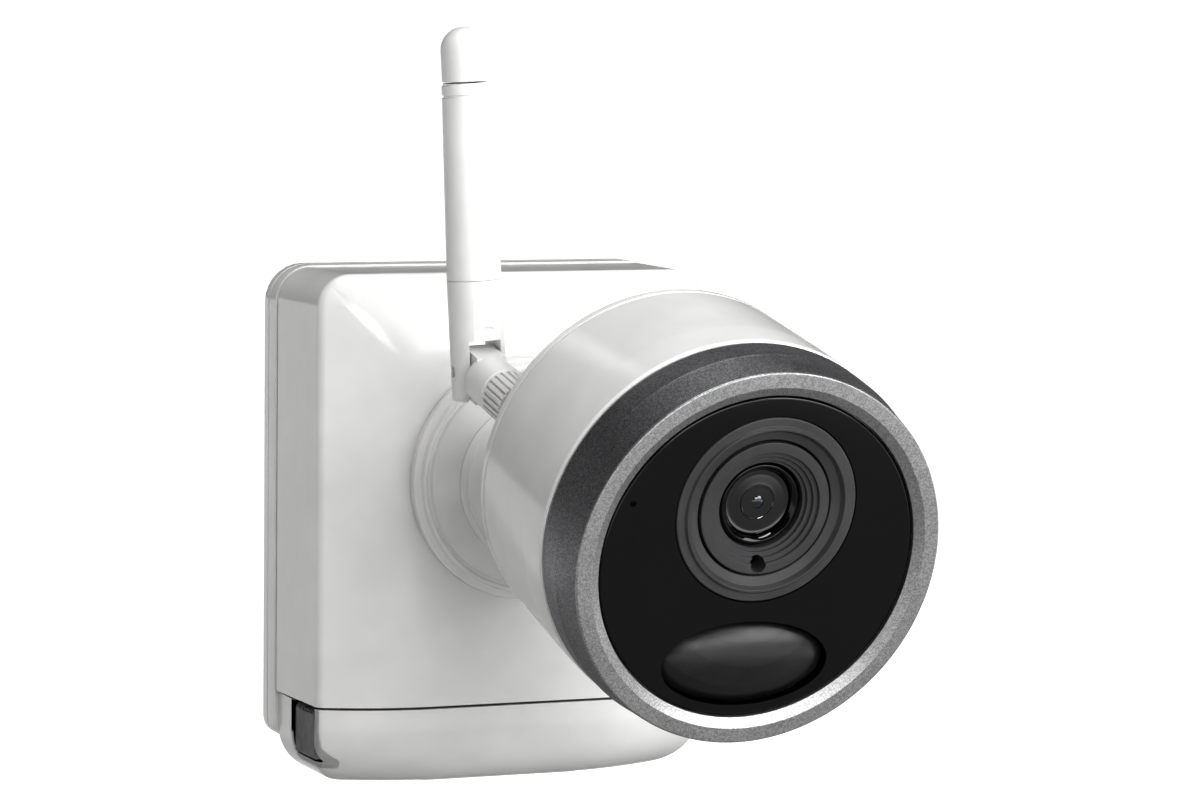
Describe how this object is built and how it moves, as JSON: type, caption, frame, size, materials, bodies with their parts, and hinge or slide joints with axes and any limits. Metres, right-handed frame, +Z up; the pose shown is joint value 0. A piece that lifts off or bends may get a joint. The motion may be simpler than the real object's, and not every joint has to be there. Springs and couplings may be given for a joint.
{
  "type": "security camera",
  "caption": "Battery bullet camera on a wall box: round head on a ball joint, folding antenna, hinged battery door with latch.",
  "frame": {"origin": "centre of the wall plate's back face", "axes": "+Y into the wall, +Z up, +X to the viewer's right when facing the camera's front"},
  "size_m": [0.0932, 0.1418, 0.1566],
  "materials": {
    "white_gloss": "moulded glossy white plastic",
    "white_satin": "moulded satin white plastic",
    "grey_plastic": "fine-textured dark grey plastic",
    "panel_black": "polished black plastic window",
    "motion_lens": "dark translucent moulded lens",
    "baffle_black": "matte stepped baffle",
    "ring_metal": "silver-grey metallic paint, satin",
    "band_metal": "gunmetal metallic paint, satin",
    "steel": "zinc-plated steel",
    "brass": "gold-plated contacts and connector",
    "rubber": "moulded silicone seal",
    "board": "solder-masked circuit board",
    "pack": "battery pack case",
    "lens_glass": "coated optical glass",
    "sensor": "silicon behind cover glass"
  },
  "bodies": {
    "box": {"wall_plate": "steel", "rear_housing": "white_gloss", "housing_gasket": "rubber", "front_housing": "white_gloss", "case_screw_1": "steel", "case_screw_2": "steel", "case_screw_3": "steel", "case_screw_4": "steel", "battery_pack_left": "pack", "battery_pack_right": "pack", "battery_contacts": "brass", "power_board": "board", "battery_seal": "rubber", "door_hinge_pin": "steel", "socket_flange": "white_gloss", "flange_screw_1": "steel", "flange_screw_2": "steel", "flange_screw_3": "steel"},
    "collar": {"locking_collar": "white_gloss"},
    "ball_seat": {"ball_seat": "baffle_black"},
    "ball": {"ball": "grey_plastic"},
    "head": {"ball_stud": "steel", "rear_cover": "white_gloss", "cover_screw_1": "steel", "cover_screw_2": "steel", "cover_screw_3": "steel", "shell_seal": "rubber", "head_shell": "white_gloss", "dark_band": "band_metal", "front_ring": "ring_metal", "front_panel": "panel_black", "lens_hood": "panel_black", "lens_baffle": "baffle_black", "lens_barrel": "baffle_black", "front_lens": "lens_glass", "lens_holder": "baffle_black", "image_sensor": "sensor", "main_board": "board", "ir_led_left": "sensor", "ir_led_right": "sensor", "motion_lens": "motion_lens", "motion_sensor": "steel", "light_sensor": "sensor", "microphone": "steel", "antenna_jack": "brass", "antenna_lead": "rubber"},
    "ir_filter": {"ir_filter": "lens_glass"},
    "antenna_nut": {"knurled_nut": "white_satin"},
    "antenna_base": {"antenna_base": "white_satin"},
    "whip": {"whip_fork": "white_satin", "whip_sleeve": "white_satin", "whip_cap": "white_satin", "whip_pin": "steel", "radiator": "brass"},
    "battery_door": {"battery_door": "white_gloss", "latch_pin": "steel", "latch_spring": "steel"},
    "latch": {"latch_lever": "grey_plastic"}
  },
  "joints": [
    {"name": "collar_turn", "type": "hinge", "parent": "box", "child": "collar", "pos_m": [0, -0.062, 0.0104], "axis": [0, -1, 0], "range_deg": [0, 90]},
    {"name": "head_pan", "type": "hinge", "parent": "box", "child": "ball_seat", "pos_m": [0, -0.062, 0.0104], "axis": [0, 0, 1], "range_deg": [-30, 30]},
    {"name": "head_tilt", "type": "hinge", "parent": "ball_seat", "child": "ball", "pos_m": [0, -0.062, 0.0104], "axis": [0.9999, 0.0157, 0], "range_deg": [-15, 15]},
    {"name": "head_roll", "type": "hinge", "parent": "ball", "child": "head", "pos_m": [0, -0.062, 0.0104], "axis": [0.0152, -0.9689, -0.247], "range_deg": [-15, 15]},
    {"name": "nut_turn", "type": "hinge", "parent": "head", "child": "antenna_nut", "pos_m": [-0.01894, -0.08204, 0.03034], "axis": [-0.0152, 0.9689, 0.247], "range_deg": [0, 90]},
    {"name": "antenna_swivel", "type": "hinge", "parent": "head", "child": "antenna_base", "pos_m": [-0.01908, -0.07332, 0.03257], "axis": [0.0152, -0.9689, -0.247], "range_deg": [-60, 60]},
    {"name": "antenna_fold", "type": "hinge", "parent": "antenna_base", "child": "whip", "pos_m": [-0.01924, -0.06305, 0.03518], "axis": [0.9981, 0.0002, 0.0608], "range_deg": [-20, 14.3]},
    {"name": "door_hinge", "type": "hinge", "parent": "box", "child": "battery_door", "pos_m": [0.04055, -0.02, -0.0387], "axis": [0, -1, 0], "range_deg": [0, 90]},
    {"name": "latch_turn", "type": "hinge", "parent": "battery_door", "child": "latch", "pos_m": [-0.041, -0.0247, -0.0383], "axis": [0, 1, 0], "range_deg": [0, 20], "stiffness_Nm_per_rad": 0.02},
    {"name": "filter_slide", "type": "slide", "parent": "head", "child": "ir_filter", "axis": [0.9999, 0.0157, 0], "range_m": [0, 0.007]}
  ]
}
